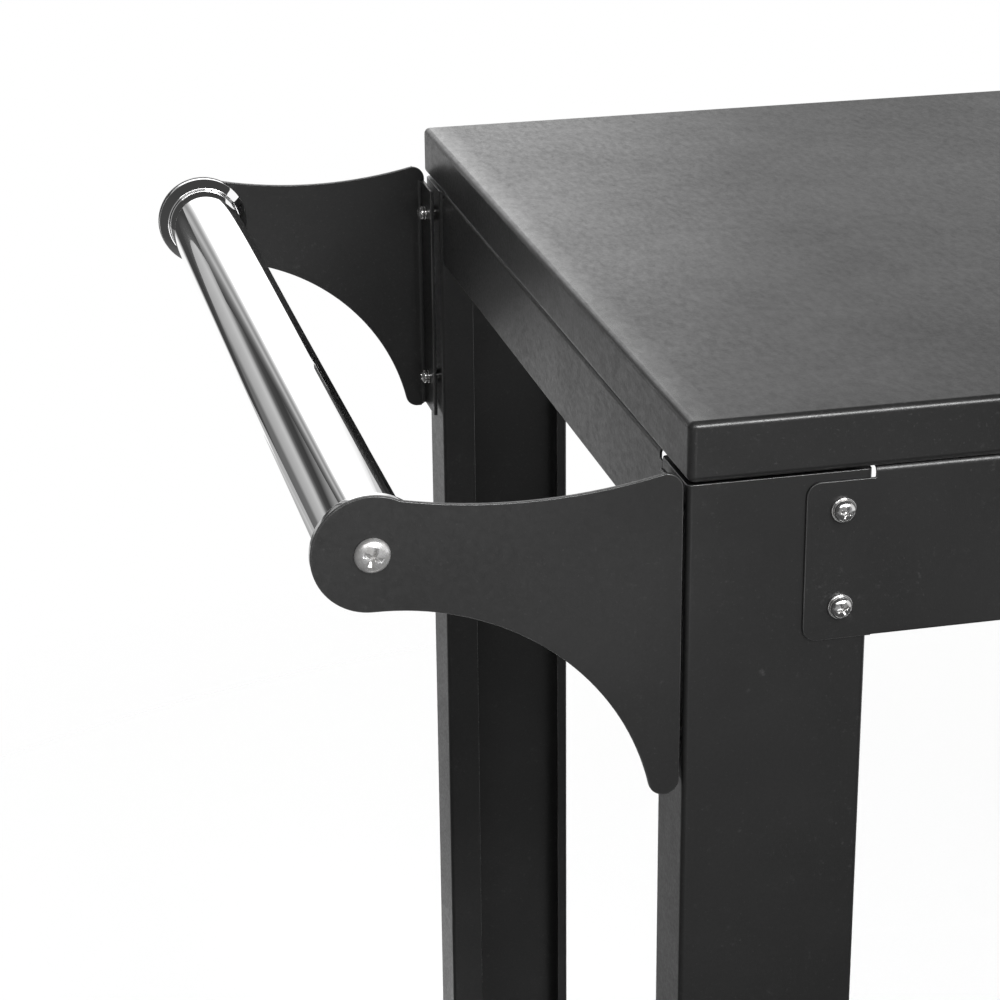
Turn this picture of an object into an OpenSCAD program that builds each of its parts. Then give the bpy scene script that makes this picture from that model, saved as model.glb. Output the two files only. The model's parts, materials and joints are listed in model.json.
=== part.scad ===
// Grill cart: a folded steel worktop on four folded legs, with a chromed
// push handle at one end, a lower shelf, two wheels at the far end and two
// feet under the handle end. Millimetres, +Z up. The origin is on the floor,
// under the middle of the whole cart. +X runs along the cart, away from the
// handle, and the front faces -Y.

/* [Cart] */
// Height of the working surface above the floor
worktop_h = 864; // [780:1:920]
// Length over the outer faces of the legs
legs_l = 1010; // [860:5:1300]
// Depth over the outer faces of the legs
legs_d = 500; // [440:5:600]

/* [Worktop] */
// Height of the worktop from its folded lips to its surface
top_h = 25.5; // [20:0.5:32]
// Gap between the tops of the legs and the worktop, which lies on the aprons
top_gap = 1.5; // [0.5:0.5:3]
// Sheet thickness of the worktop
top_t = 1.2; // [0.8:0.1:1.5]
// Outer radius of the worktop's long edges
top_edge_r = 3; // [2.5:0.5:5]
// Radius of the worktop's upright corners
top_corner_r = 2; // [2:0.5:4]
// How far the worktop stands out past the legs at each end
top_over_x = 0.5; // [0.5:0.5:6]
// How far the worktop stands out past the legs at the front and back
top_over_y = 3; // [3:0.5:8]
// Width of the lip folded in under the worktop
top_lip_w = 24; // [22:1:30]
// Width of the crown of a worktop stiffener
stiffener_w = 40; // [30:1:60]
// Width of a stiffener's brims
stiffener_brim = 12; // [8:1:16]
// Distance between the worktop stiffeners
stiffener_pitch = 250; // [200:5:280]
// Distance of the worktop screws from the middle stiffener
top_screw_x = 125; // [80:1:160]

/* [Legs] */
// Width of the leg's wide face, which looks to the front or back
leg_wide = 77.4; // [66:0.2:90]
// Width of the leg's narrow face, which looks to the cart's end
leg_side = 36; // [32:0.5:44]
// Width of the lip folded in from the narrow face
leg_lip = 18; // [16:0.5:22]
// Depth of the return folded in along the wide face's free edge
leg_return = 15; // [12:0.5:20]
// Width of the lip folded in from the return
leg_return_lip = 6; // [4:0.5:8]
// Sheet thickness of the legs
leg_t = 1.5; // [1.2:0.1:2]
// Thickness of the plate that closes the top of a leg
leg_plate_t = 1.5; // [1:0.1:2]
// Outer radius of the bends in the legs
leg_bend_r = 2.2; // [2.2:0.1:3.4]

/* [Aprons and end rails] */
// Drop of the aprons' lower edge below the top of the legs
apron_h = 72.5; // [66:0.5:90]
// Sheet thickness of the aprons, end rails and shelf
panel_t = 1.2; // [0.8:0.1:1.5]
// Outer radius of the bends in the aprons, end rails and shelf
bend_r = 3; // [2.5:0.1:3.4]
// Width of the flanges folded in along the tops of the aprons and end rails
flange_w = 20; // [19:1:24]
// Width of the hem folded flat along the lower edges of the aprons and end rails
hem_w = 8; // [5:1:12]
// How far the tabs lap over the face of a leg
tab_lap = 28; // [24:0.5:32]
// Drop of a tab's upper edge below the top of the legs, or of the shelf
tab_drop = 3.6; // [3.5:0.1:6]
// Corner radius of the tabs
tab_r = 6; // [3:0.5:8]
// Gap from the leg's free edge to the start of the flanges
flange_relief = 1; // [1:0.5:6]
// Drop of the end rails' lower edge below the top of the legs
rail_h = 41; // [32:1:50]
// How far the end rails lie in from the narrow faces of the legs
rail_inset = 1; // [0:0.5:2]
// Distance from the legs' lips to the start of an end rail's flange
rail_relief = 6; // [4:0.5:12]

/* [Handle] */
// Distance from the narrow faces of the legs to the tube's axis
handle_reach = 126.5; // [110:0.5:150]
// Drop of the tube's axis below the top of the legs
handle_drop = 16.2; // [12:0.2:24]
// Outer diameter of the handle tube
tube_d = 38; // [30:1:40]
// Wall of the handle tube
tube_wall = 1.5; // [1:0.1:2.5]
// Outer diameter of the caps on the tube's ends
cap_d = 48; // [44:0.5:50]
// Depth of a tube end cap
cap_h = 7; // [5:0.5:10]
// Floor thickness of a tube end cap
cap_floor = 1.5; // [1:0.1:2]
// Depth of the sloping face round a tube end cap
cap_slope = 4; // [2:0.5:4]
// Wall of a tube end cap at its tip
cap_tip = 0.8; // [0.5:0.1:1.2]
// Length of the threaded plug inside each end of the tube
plug_h = 25; // [18:1:40]
// Sheet thickness of the handle brackets
bracket_t = 2; // [1.5:0.1:2.5]
// Diameter of the round end of a bracket
bracket_end_d = 48.4; // [46:0.2:54]
// Drop of a bracket's lower tip below the top of the legs
bracket_h = 134.9; // [125:1:150]
// Radius of a bracket's lower tip
bracket_tip_r = 6.5; // [4:0.5:8]
// Radius of the shallow hollow in a bracket's upper edge
saddle_r = 250; // [220:5:320]
// Height of the hollow's lowest point above the top of the legs
saddle_rise = -0.2; // [-2:0.2:1]
// Radius of a bracket's upper corner beside the worktop
bracket_corner_r = 7; // [5:0.5:9]
// Width of the bracket flange that is screwed to the leg
bracket_flange_w = 27; // [24:0.5:30]
// Outer radius of the bracket's bend
bracket_bend_r = 4; // [3:0.1:4.5]
// Drop of the bracket flange's upper edge below the top of the legs
bracket_flange_drop = 2; // [1:0.5:4]
// Height of the bracket flange's lower edge above the bracket's tip
bracket_flange_rise = 2; // [1:0.5:4]
// Thickness of the spacers between the bracket flange and the leg
spacer_t = 1.5; // [1:0.1:2.5]
// Diameter of those spacers
spacer_d = 9; // [8:0.2:10]

/* [Lower shelf] */
// Height of the lower shelf's surface above the floor
shelf_h = 245; // [235:1:260]
// Height of the shelf's folded skirts
shelf_skirt = 45; // [42:1:50]
// Width of the returns folded in along the skirts' lower edges
return_w = 12; // [8:1:16]
// Distance between the two shelf stiffeners
shelf_stiffener_pitch = 360; // [280:5:420]
// Height of the shelf stiffeners
shelf_stiffener_h = 18; // [12:1:26]

/* [Wheels] */
// Diameter of the wheels
wheel_d = 180; // [160:2:190]
// Width of the tyres
wheel_w = 38; // [32:1:44]
// Radial thickness of the tyres
tyre_t = 15; // [12:0.5:18]
// Rounding of the tyre's shoulders
tyre_shoulder_r = 6; // [4:0.5:8]
// Wall of the wheel's rim under the tyre
rim_wall = 5; // [4:0.5:7]
// Diameter of the wheel's hub
hub_d = 46; // [42:1:54]
// Length of the wheel's hub
hub_l = 42; // [42:1:48]
// Number of spokes in a wheel
spokes = 6; // [5:1:9]
// Thickness of a spoke
spoke_t = 7; // [5:0.5:9]
// Thickness of the web between the spokes
wheel_web_t = 4; // [3:0.5:6]
// Diameter of the axle
axle_d = 12; // [10:0.5:14]
// Diameter of the axle's threaded ends
axle_end_d = 8; // [6:1:8]
// Distance from the narrow faces of the legs to the axle
axle_inset = 38.7; // [34:0.5:48]
// Wall of the bush in a wheel
bush_wall = 2.5; // [1.5:0.5:3]
// How far the legs reach below the axle at the wheel end
axle_leg_reach = 40; // [30:1:50]
// Diameter of the cap over the axle's end
wheel_cap_d = 38; // [36:1:42]
// Wall of the cap over the axle's end
wheel_cap_wall = 2; // [1.5:0.5:3]

/* [Feet] */
// Thickness of a foot under the leg
foot_base = 6; // [4:0.5:10]
// How far a foot stands out round the leg
foot_rim = 1.5; // [1:0.5:3]
// Height of the part of a foot that fills the leg
foot_plug_h = 24; // [22:1:40]
// Height of the foot screws above the floor
foot_screw_z = 18; // [17:0.5:20]
// How far the foot screws reach into the feet
foot_screw_reach = 14; // [10:0.5:18]

/* [Fasteners] */
// Diameter of the apron, rail, shelf and worktop screws
screw_d = 5; // [4:0.5:5]
// Head diameter of those screws
head_d = 9.2; // [8:0.2:10]
// Head height of those screws
head_h = 3.6; // [2.5:0.1:4]
// Diameter of their washers
washer_d = 10.6; // [10:0.2:11]
// Thickness of their washers
washer_t = 1; // [0.6:0.1:1.2]
// Width over the flats of their nuts
nut_af = 8; // [7:0.5:8]
// Thickness of their nuts
nut_t = 4; // [3:0.5:5]
// Diameter of the bracket and foot screws
small_screw_d = 4; // [3:0.5:4]
// Head diameter of the bracket and foot screws
small_head_d = 7.6; // [6.5:0.1:8]
// Head height of the bracket and foot screws
small_head_h = 3.6; // [2:0.1:4]
// Diameter of the bracket screws' washers
small_washer_d = 8; // [7:0.2:9]
// Width over the flats of the bracket screws' nuts
small_nut_af = 7; // [6:0.5:7]
// Thickness of the bracket screws' nuts
small_nut_t = 3.2; // [2.5:0.1:4]
// Diameter of the handle screws
handle_screw_d = 6; // [5:0.5:8]
// Head diameter of the handle screws
handle_head_d = 14.5; // [12:0.5:16]
// Head height of the handle screws
handle_head_h = 3.6; // [3:0.1:5]
// Diameter of the axle's washers
axle_washer_d = 24; // [22:1:26]
// Thickness of the axle's washers
axle_washer_t = 2; // [1.5:0.5:2.5]
// Width over the flats of the axle's lock nuts
axle_nut_af = 13; // [13:1:17]
// Thickness of the axle's lock nuts
axle_nut_t = 8; // [6:0.5:9]
// How far a screw reaches past its nut
screw_tail = 2; // [1:0.5:3]

/* [Fastener places] */
// Drop of the upper apron screws below the top of the legs
apron_screw_drop = 16; // [14:0.5:20]
// Distance between the two screws of an apron tab
apron_screw_pitch = 42; // [30:0.5:42]
// Distance of the tab screws from the leg's free edge
tab_screw_inset = 12.5; // [11.5:0.1:16]
// Drop of the upper shelf screws below the shelf's surface
shelf_screw_drop = 14; // [12:0.5:16]
// Distance between the two screws of a shelf tab
shelf_screw_pitch = 20; // [16:0.5:20]
// Drop of the rail screws below the top of the legs
rail_screw_drop = 19; // [16:0.5:22]
// Distance of the rail screws from the leg's narrow face
rail_screw_inset = 11; // [10:0.5:12]
// Drop of the upper bracket screws below the top of the legs
bracket_screw_drop = 17.5; // [14:0.5:24]
// Distance between the two screws of a bracket
bracket_screw_pitch = 96; // [80:0.5:100]
// Distance of the bracket screws from the leg's wide face
bracket_screw_inset = 14; // [10:0.5:16]
// Distance of the worktop screws from the leg's wide face
top_screw_inset = 10; // [9:0.5:11]

/* [Clearances] */
// Radial gap of a screw in a plain hole
hole_gap = 0.2; // [0.1:0.05:0.4]
// Radial gap of a nut on its screw
thread_gap = 0.05; // [0.02:0.01:0.1]
// Radial gap of a wheel's bush on the axle
axle_gap = 0.06; // [0.02:0.01:0.1]
// End play of a wheel on each side
wheel_play = 0.4; // [0.3:0.1:1]
// Gap between pieces that push together by hand
push_gap = 0.1; // [0.05:0.05:0.3]
// Gap from a notch or fold to the leg beside it
notch_gap = 1; // [0.5:0.1:2]

/* [Hidden] */
$fn = 64;
eps = 1;

powder_black = [0.17, 0.17, 0.175];
chrome = [0.82, 0.83, 0.84];
zinc = [0.72, 0.73, 0.74];
plastic_black = [0.1, 0.1, 0.1];
rubber_black = [0.07, 0.07, 0.07];
nylon_white = [0.85, 0.84, 0.8];

// The whole cart reaches from the round ends of the brackets to the wheels
handle_end = handle_reach + bracket_end_d / 2;
wheel_end = max(wheel_d / 2 - axle_inset, top_over_x);
cart_l = handle_end + legs_l + wheel_end;
left_x = handle_end - cart_l / 2;
right_x = left_x + legs_l;
mid_x = (left_x + right_x) / 2;
front_y = -legs_d / 2;
deck_z = worktop_h - top_h;
leg_top = deck_z - top_gap;

// Aprons and shelf, measured in from the outer corner of a leg
tab_start = leg_wide - tab_lap;
flange_start = leg_wide + flange_relief;
tab_screw_x = leg_wide - tab_screw_inset;

// The outline of a bracket, measured from the back of its flange
arm_l = handle_reach - spacer_t;
end_r = bracket_end_d / 2;
arc_top = -handle_drop - end_r;
tip_x = -bracket_tip_r;
tip_z = -bracket_h + bracket_tip_r;
arc_run = arm_l + tip_x;
arc_fall = arc_top - tip_z;
arc_r = (arc_run * arc_run + arc_fall * arc_fall - bracket_tip_r * bracket_tip_r)
  / (2 * (bracket_tip_r + arc_fall));
arc_z = arc_top - arc_r;
tangent = arc_r / (arc_r + bracket_tip_r);
tangent_z = arc_z + (tip_z - arc_z) * tangent;
saddle_x = -arm_l / 2;
saddle_z = saddle_rise + saddle_r;
corner_x = -max(0, top_over_x + push_gap - spacer_t) - bracket_corner_r;
corner_z = saddle_z - sqrt(pow(saddle_r + bracket_corner_r, 2) - pow(corner_x - saddle_x, 2));
bracket_flange_top = -bracket_flange_drop;
bracket_flange_bottom = -bracket_h + bracket_flange_rise;
handle_y = legs_d / 2 - bracket_t;

// Wheels, measured outwards from the wide face of a leg
axle_x = right_x - axle_inset;
axle_z = wheel_d / 2;
hub_start = axle_washer_t + wheel_play;
hub_end = hub_start + hub_l;
tyre_start = hub_start + (hub_l - wheel_w) / 2;
shoulder_y = hub_end + wheel_play;
axle_tip = shoulder_y + axle_washer_t + axle_nut_t + screw_tail;
rim_d = wheel_d - 2 * tyre_t;
bush_d = axle_d + 2 * axle_gap + 2 * bush_wall;
wheel_cap_h = axle_tip - hub_end + push_gap + wheel_cap_wall + wheel_play;

// Places a piece drawn in from a leg's outer corner on any of the four legs
module at_corner(right, back) {
  translate([right ? right_x : left_x, back ? -front_y : front_y, 0])
    if (right && back) rotate([0, 0, 180]) children();
    else if (right) mirror([1, 0, 0]) children();
    else if (back) mirror([0, 1, 0]) children();
    else children();
}

// Places a piece that is drawn at the front on the front or the back
module at_side(back) {
  if (back) mirror([0, 1, 0]) children();
  else children();
}

// Extrudes an outline drawn in Y and Z along X
module run_x(start, end) {
  translate([start, 0, 0]) rotate([90, 0, 90]) linear_extrude(end - start) children();
}

// Extrudes an outline drawn in X and Z along Y
module run_y(start, end) {
  translate([0, end, 0]) rotate([90, 0, 0]) linear_extrude(end - start) children();
}

// Extrudes an outline drawn in X and Y along Z
module run_z(start, end) {
  translate([0, 0, start]) linear_extrude(end - start) children();
}

module rod_x(d, start, end) {
  translate([start, 0, 0]) rotate([0, 90, 0]) cylinder(d = d, h = end - start);
}

module rod_y(d, start, end) {
  translate([0, end, 0]) rotate([90, 0, 0]) cylinder(d = d, h = end - start);
}

// A quarter bend in sheet, from the X side to the Y side of its corner
module bend(r, t) {
  intersection() {
    translate([r, r]) difference() {
      circle(r);
      circle(r - t);
    }
    square(r);
  }
}

// A folded channel: an upright web with a flange at its top and at its foot
module channel(h, top_w, foot_w, t, r) {
  translate([0, r]) square([t, h - 2 * r]);
  bend(r, t);
  translate([0, h]) mirror([0, 1]) bend(r, t);
  translate([r, 0]) square([foot_w - r, t]);
  translate([r, h - t]) square([top_w - r, t]);
}

// A folded panel: an upright web with a flange at its top and a flat hem at its foot
module panel(h, top_w, hem, t, r) {
  translate([0, t]) square([t, h - t - r]);
  translate([t, t]) circle(t);
  translate([t, t]) square([t, hem - t]);
  translate([0, h]) mirror([0, 1]) bend(r, t);
  translate([r, h - t]) square([top_w - r, t]);
}

// A rectangle with round corners, from the origin
module round_rect(w, h, r) {
  translate([r, 0]) square([w - 2 * r, h]);
  translate([0, r]) square([w, h - 2 * r]);
  for (x = [r, w - r], y = [r, h - r]) translate([x, y]) circle(r);
}

// A hat channel with its brims up, centred on X and standing on its crown
module hat(w, brim, h, t) {
  translate([-w / 2, 0]) square([w, t]);
  for (side = [-1, 1]) {
    translate([side * (w - t) / 2 - t / 2, 0]) square([t, h]);
    translate([side * (w + brim - t) / 2 - brim / 2, h - t]) square([brim, t]);
  }
}

// A domed screw head with a cross recess, standing on z = 0
module screw_head(d, h) {
  rise = h * 0.55;
  dome_r = (d * d / 4 + rise * rise) / (2 * rise);
  slot_l = d * 0.52;
  slot_w = d * 0.1;
  slot_depth = h * 0.6;
  difference() {
    intersection() {
      cylinder(d = d, h = h);
      translate([0, 0, h - dome_r]) sphere(dome_r);
    }
    for (turn = [0, 90]) rotate([0, 0, turn])
      translate([-slot_l / 2, -slot_w / 2, h - slot_depth]) cube([slot_l, slot_w, slot_depth + eps]);
  }
}

// A screw that points down, with its head above z = 0
module screw(d, grip, head, height) {
  screw_head(head, height);
  translate([0, 0, -grip]) cylinder(d = d, h = grip + height / 4);
}

module washer(d, bore, t) {
  difference() {
    cylinder(d = d, h = t);
    translate([0, 0, -eps]) cylinder(d = bore, h = t + 2 * eps);
  }
}

module nut(af, bore, t) {
  difference() {
    cylinder(d = af / cos(30), h = t, $fn = 6);
    translate([0, 0, -eps]) cylinder(d = bore, h = t + 2 * eps);
  }
}

// The outer shape of the worktop, drawn in by a step on every side
module top_block(step) {
  half_l = legs_l / 2 + top_over_x - step;
  half_d = legs_d / 2 + top_over_y - step;
  low = deck_z + step;
  h = top_h - 2 * step;
  r = top_edge_r - step;
  corner = top_corner_r - step;
  intersection() {
    run_y(-half_d, half_d) translate([mid_x - half_l, low]) round_rect(2 * half_l, h, r);
    run_x(mid_x - half_l, mid_x + half_l) translate([-half_d, low]) round_rect(2 * half_d, h, r);
    run_z(low, low + h) translate([mid_x - half_l, -half_d])
      round_rect(2 * half_l, 2 * half_d, corner);
  }
}

module top_sheet() {
  mouth_l = legs_l + 2 * top_over_x - 2 * top_lip_w;
  mouth_d = legs_d + 2 * top_over_y - 2 * top_lip_w;
  color(powder_black) difference() {
    top_block(0);
    top_block(top_t);
    translate([mid_x - mouth_l / 2, -mouth_d / 2, deck_z - eps]) cube([mouth_l, mouth_d, top_t + 2 * eps]);
    at_top_screws() translate([0, 0, deck_z - eps])
      cylinder(d = screw_d + 2 * hole_gap, h = top_t + 2 * eps);
  }
}

// The eight screws that hold the worktop down to the aprons
module at_top_screws() {
  for (back = [0, 1], step = [-3, -1, 1, 3]) at_side(back)
    translate([mid_x + step * top_screw_x, front_y + top_screw_inset, 0]) children();
}

module top_stiffeners() {
  half_d = legs_d / 2 + top_over_y - top_edge_r;
  color(powder_black) for (step = [-1, 0, 1])
    run_y(-half_d, half_d) translate([mid_x + step * stiffener_pitch, deck_z + top_t])
      hat(stiffener_w, stiffener_brim, top_h - 2 * top_t, top_t);
}

module top_screws() {
  grip = panel_t + top_t + nut_t + screw_tail;
  color(zinc) at_top_screws() translate([0, 0, deck_z - panel_t])
    rotate([180, 0, 0]) screw(screw_d, grip, head_d, head_h);
}

module top_nuts() {
  color(zinc) at_top_screws() translate([0, 0, deck_z + top_t])
    nut(nut_af, screw_d + 2 * thread_gap, nut_t);
}

// The section of a leg, from its outer corner
module leg_section() {
  bend(leg_bend_r, leg_t);
  translate([leg_bend_r, 0]) square([leg_wide - 2 * leg_bend_r, leg_t]);
  translate([leg_wide, 0]) mirror([1, 0]) {
    bend(leg_bend_r, leg_t);
    translate([0, leg_bend_r]) square([leg_t, leg_return - 2 * leg_bend_r]);
    translate([0, leg_return]) mirror([0, 1]) bend(leg_bend_r, leg_t);
    translate([leg_bend_r, leg_return - leg_t]) square([leg_return_lip - leg_bend_r, leg_t]);
  }
  translate([0, leg_bend_r]) square([leg_t, leg_side - 2 * leg_bend_r]);
  translate([0, leg_side]) mirror([0, 1]) bend(leg_bend_r, leg_t);
  translate([leg_bend_r, leg_side - leg_t]) square([leg_lip - leg_bend_r, leg_t]);
}

module leg(right, back) {
  bottom = right ? axle_z - axle_leg_reach : foot_base;
  hole = screw_d + 2 * hole_gap;
  color(powder_black) at_corner(right, back) difference() {
    union() {
      run_z(bottom, leg_top) leg_section();
      run_z(leg_top - leg_plate_t, leg_top) translate([leg_t / 2, leg_t / 2])
        square([leg_wide - leg_t, leg_side - leg_t]);
    }
    for (z = concat(apron_screw_heights(), shelf_screw_heights()))
      translate([tab_screw_x, 0, z]) rod_y(hole, -eps, leg_t + eps);
    translate([rail_screw_inset, 0, leg_top - rail_screw_drop])
      rod_y(hole, leg_side - leg_t - eps, leg_side + eps);
    if (right) translate([axle_inset, 0, axle_z])
      rod_y(axle_d + 2 * hole_gap, -eps, leg_t + eps);
    else {
      for (z = bracket_screw_heights())
        translate([0, bracket_screw_inset, z]) rod_x(small_screw_d + 2 * hole_gap, -eps, leg_t + eps);
      translate([0, leg_side / 2, foot_screw_z])
        rod_x(small_screw_d + 2 * hole_gap, -eps, leg_t + eps);
    }
  }
}

function apron_screw_heights() =
  [leg_top - apron_screw_drop, leg_top - apron_screw_drop - apron_screw_pitch];
function shelf_screw_heights() =
  [shelf_h - shelf_screw_drop, shelf_h - shelf_screw_drop - shelf_screw_pitch];
function bracket_screw_heights() =
  [leg_top - bracket_screw_drop, leg_top - bracket_screw_drop - bracket_screw_pitch];

// The tab of an apron or shelf skirt that laps over a leg, below height top
module panel_tab(top, h, heights) {
  w = flange_start - tab_start;
  difference() {
    run_y(-panel_t, 0) translate([tab_start, top - h]) {
      round_rect(w, h - tab_drop, tab_r);
      translate([w / 2, 0]) square([w / 2, h - tab_drop]);
    }
    for (z = heights) translate([tab_screw_x, 0, z])
      rod_y(screw_d + 2 * hole_gap, -panel_t - eps, eps);
  }
}

module panel_tabs(back, top, h, heights) {
  for (right = [0, 1]) at_corner(right, back) panel_tab(top, h, heights);
}

module apron(back) {
  color(powder_black) {
    panel_tabs(back, leg_top, apron_h, apron_screw_heights());
    difference() {
      at_side(back) run_x(left_x + flange_start, right_x - flange_start)
        translate([front_y - panel_t, leg_top - apron_h])
        panel(apron_h + top_gap, flange_w, hem_w, panel_t, bend_r);
      at_top_screws() translate([0, 0, deck_z - panel_t - eps])
        cylinder(d = screw_d + 2 * hole_gap, h = panel_t + 2 * eps);
    }
  }
}

module at_tab_screws(heights) {
  for (right = [0, 1], back = [0, 1], z = heights) at_corner(right, back)
    translate([tab_screw_x, -panel_t, z]) rotate([90, 0, 0]) children();
}

module tab_screw() {
  grip = washer_t + panel_t + leg_t + nut_t + screw_tail;
  translate([0, 0, washer_t]) screw(screw_d, grip, head_d, head_h);
}

module tab_nut() {
  translate([0, 0, -panel_t - leg_t - nut_t]) nut(nut_af, screw_d + 2 * thread_gap, nut_t);
}

module panel_washer() {
  washer(washer_d, screw_d + 2 * hole_gap, washer_t);
}

module apron_screws() {
  color(zinc) at_tab_screws(apron_screw_heights()) tab_screw();
}

module apron_washers() {
  color(zinc) at_tab_screws(apron_screw_heights()) panel_washer();
}

module apron_nuts() {
  color(zinc) at_tab_screws(apron_screw_heights()) tab_nut();
}

// An end rail: a folded panel between the legs, with end tabs on the legs' lips
module end_rail(right) {
  half_d = legs_d / 2 - leg_side;
  foot_z = leg_top - rail_h;
  color(powder_black) for (back = [0, 1]) at_corner(right, back) difference() {
    union() {
      run_z(foot_z, leg_top - tab_drop) translate([rail_inset, leg_side]) {
        bend(bend_r, panel_t);
        translate([bend_r, 0]) square([leg_lip - rail_inset - bend_r, panel_t]);
        translate([0, bend_r]) square([panel_t, rail_relief - bend_r]);
      }
      run_y(leg_side + rail_relief, leg_side + half_d) translate([rail_inset, foot_z])
        panel(rail_h + top_gap, flange_w, hem_w, panel_t, bend_r);
    }
    translate([rail_screw_inset, 0, leg_top - rail_screw_drop])
      rod_y(screw_d + 2 * hole_gap, leg_side - eps, leg_side + panel_t + eps);
  }
}

module at_rail_screws() {
  for (right = [0, 1], back = [0, 1]) at_corner(right, back)
    translate([rail_screw_inset, leg_side + panel_t, leg_top - rail_screw_drop])
    rotate([-90, 0, 0]) children();
}

module rail_screws() {
  grip = panel_t + leg_t + nut_t + screw_tail;
  color(zinc) at_rail_screws() screw(screw_d, grip, head_d, head_h);
}

module rail_nuts() {
  color(zinc) at_rail_screws() translate([0, 0, -panel_t - leg_t - nut_t])
    nut(nut_af, screw_d + 2 * thread_gap, nut_t);
}

// The outline of a bracket, from the back of its flange at the top of the leg
module bracket_outline() {
  translate([-arm_l, -handle_drop]) circle(end_r, $fn = 96);
  difference() {
    translate([-arm_l, tangent_z]) square([arm_l + corner_x, saddle_rise + end_r - tangent_z]);
    translate([saddle_x, saddle_z]) circle(saddle_r, $fn = 360);
    translate([-arm_l, arc_z]) circle(arc_r, $fn = 240);
    translate([-arm_l - eps, -handle_drop + end_r]) square([arm_l, 2 * end_r]);
  }
  translate([corner_x, corner_z]) circle(bracket_corner_r);
  translate([corner_x - eps, tip_z]) square([bracket_corner_r + eps, corner_z - tip_z]);
  translate([tip_x, tip_z]) circle(bracket_tip_r);
  translate([tip_x, tip_z - bracket_tip_r]) square([-tip_x - bracket_bend_r, 2 * bracket_tip_r]);
  translate([corner_x, tangent_z])
    square([-bracket_bend_r - corner_x, bracket_flange_top - tangent_z]);
}

module bracket(back) {
  color(powder_black) at_corner(0, back) translate([-spacer_t, 0, leg_top]) difference() {
    union() {
      run_y(0, bracket_t) bracket_outline();
      run_z(bracket_flange_bottom, bracket_flange_top) {
        mirror([1, 0]) bend(bracket_bend_r, bracket_t);
        translate([-bracket_t, bracket_bend_r])
          square([bracket_t, bracket_flange_w - bracket_bend_r]);
      }
    }
    translate([-arm_l, 0, -handle_drop])
      rod_y(handle_screw_d + 2 * hole_gap, -eps, bracket_t + eps);
    for (z = bracket_screw_heights()) translate([0, bracket_screw_inset, z - leg_top])
      rod_x(small_screw_d + 2 * hole_gap, -bracket_t - eps, eps);
  }
}

module at_bracket_screws() {
  for (back = [0, 1], z = bracket_screw_heights()) at_corner(0, back)
    translate([-spacer_t - bracket_t, bracket_screw_inset, z]) rotate([0, -90, 0]) children();
}

module bracket_spacers() {
  color(zinc) at_bracket_screws() translate([0, 0, -bracket_t - spacer_t])
    washer(spacer_d, small_screw_d + 2 * hole_gap, spacer_t);
}

module bracket_screws() {
  grip = washer_t + bracket_t + spacer_t + leg_t + small_nut_t + screw_tail;
  color(zinc) at_bracket_screws() translate([0, 0, washer_t])
    screw(small_screw_d, grip, small_head_d, small_head_h);
}

module bracket_washers() {
  color(zinc) at_bracket_screws() washer(small_washer_d, small_screw_d + 2 * hole_gap, washer_t);
}

module bracket_nuts() {
  color(zinc) at_bracket_screws() translate([0, 0, -bracket_t - spacer_t - leg_t - small_nut_t])
    nut(small_nut_af, small_screw_d + 2 * thread_gap, small_nut_t);
}

// Places a piece drawn from the inner face of the front bracket, on the tube's axis
module at_handle(back) {
  at_side(back) translate([left_x - handle_reach, -handle_y, leg_top - handle_drop])
    rotate([-90, 0, 0]) children();
}

module handle_tube() {
  length = 2 * (handle_y - cap_floor);
  color(chrome) at_handle(0) translate([0, 0, cap_floor]) difference() {
    cylinder(d = tube_d, h = length, $fn = 96);
    translate([0, 0, -eps]) cylinder(d = tube_d - 2 * tube_wall, h = length + 2 * eps, $fn = 96);
  }
}

module handle_plugs() {
  color(plastic_black) for (back = [0, 1]) at_handle(back) translate([0, 0, cap_floor])
    difference() {
      cylinder(d = tube_d - 2 * tube_wall - 2 * push_gap, h = plug_h);
      translate([0, 0, -eps]) cylinder(d = handle_screw_d + 2 * thread_gap, h = plug_h + 2 * eps);
    }
}

// A cap that stands on the bracket and cups the end of the tube
module handle_cap(back) {
  color(chrome) at_handle(back) difference() {
    rotate_extrude($fn = 96) polygon([
      [0, 0], [cap_d / 2, 0], [cap_d / 2, cap_h - cap_slope],
      [tube_d / 2 + push_gap + cap_tip, cap_h], [0, cap_h]
    ]);
    translate([0, 0, cap_floor]) cylinder(d = tube_d + 2 * push_gap, h = cap_h, $fn = 96);
    translate([0, 0, -eps]) cylinder(d = handle_screw_d + 2 * hole_gap, h = cap_h);
  }
}

module handle_screws() {
  grip = bracket_t + cap_floor + plug_h - screw_tail;
  color(zinc) for (back = [0, 1]) at_handle(back) translate([0, 0, -bracket_t])
    rotate([180, 0, 0]) screw(handle_screw_d, grip, handle_head_d, handle_head_h);
}

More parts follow.
